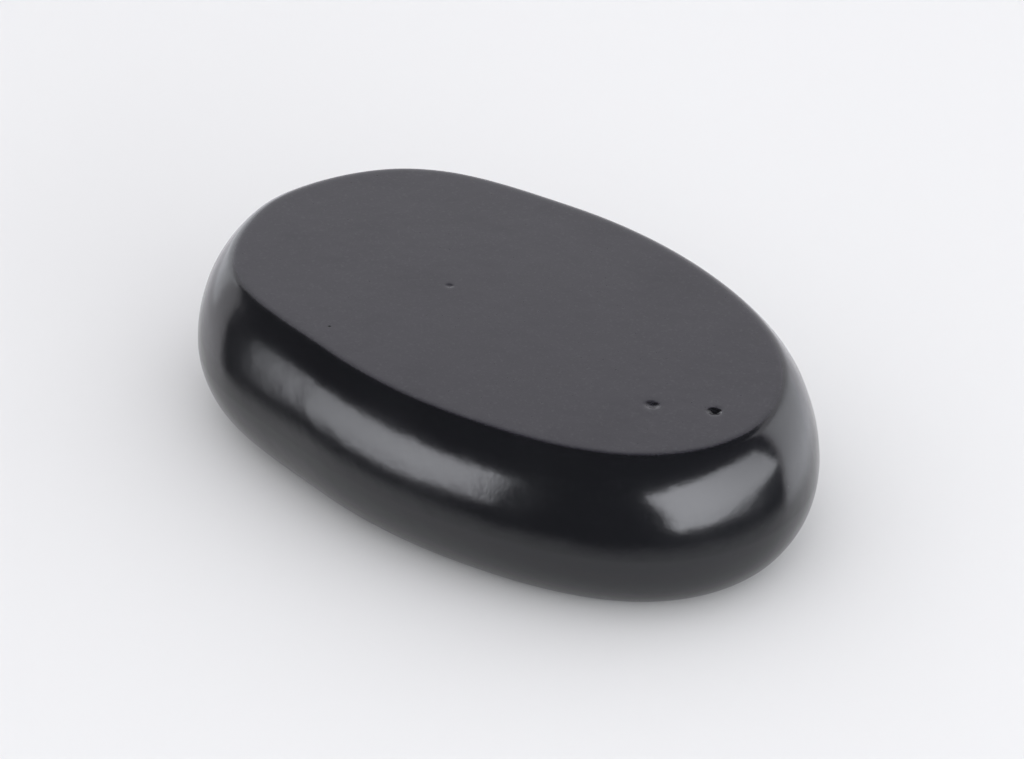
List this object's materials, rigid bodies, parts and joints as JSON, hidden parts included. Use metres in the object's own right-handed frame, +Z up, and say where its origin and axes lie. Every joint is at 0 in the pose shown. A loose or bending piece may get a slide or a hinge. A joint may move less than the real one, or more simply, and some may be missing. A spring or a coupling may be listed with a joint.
{
  "type": "basalt massage stone",
  "caption": "Flat oval hot-massage pebble of polished near-black basalt, with a flat face above and below and a rounded rim, warmed in water and laid on or drawn over the skin.",
  "frame": {"origin": "middle of the length and width of the stone, on the surface that its lower flat face rests on", "axes": "+X along the stone towards its narrower end, +Y across it towards the more curved long side, +Z up through the thickness, from the lower flat face to the upper one"},
  "size_m": [0.082, 0.052, 0.0205],
  "materials": {
    "polished_basalt": "near-black fine-grained basalt with a faint blue-grey cast, honed satin flat faces and a glossier tumbled rim, tiny open pores"
  },
  "bodies": {
    "root": {"stone": "polished_basalt"}
  },
  "joints": []
}
